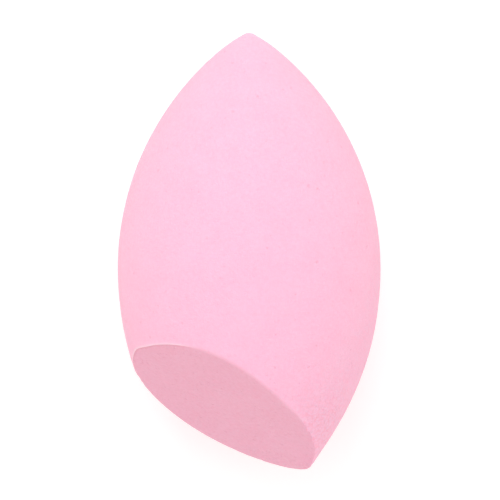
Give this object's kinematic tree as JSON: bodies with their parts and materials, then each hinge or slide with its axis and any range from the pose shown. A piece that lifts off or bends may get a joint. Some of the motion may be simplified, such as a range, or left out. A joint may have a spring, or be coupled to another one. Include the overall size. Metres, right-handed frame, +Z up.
{
  "type": "makeup sponge",
  "caption": "Soft lemon-shaped foam makeup sponge with a softly pointed tip and a flat slanted face, for dabbing and blending liquid and powder.",
  "frame": {"origin": "middle of the small flat that the foam settles onto where it lies, right under the centre of the girth, the sponge's widest circle", "axes": "+Z up from the table, +Y along the sponge's own axis towards the pointed tip, +X completing a right-handed frame; the slanted face looks up and towards -X and -Y"},
  "size_m": [0.04, 0.0663, 0.0395],
  "materials": {
    "pink_foam": "matte"
  },
  "bodies": {
    "root": {"foam_body": "pink_foam"}
  },
  "joints": []
}
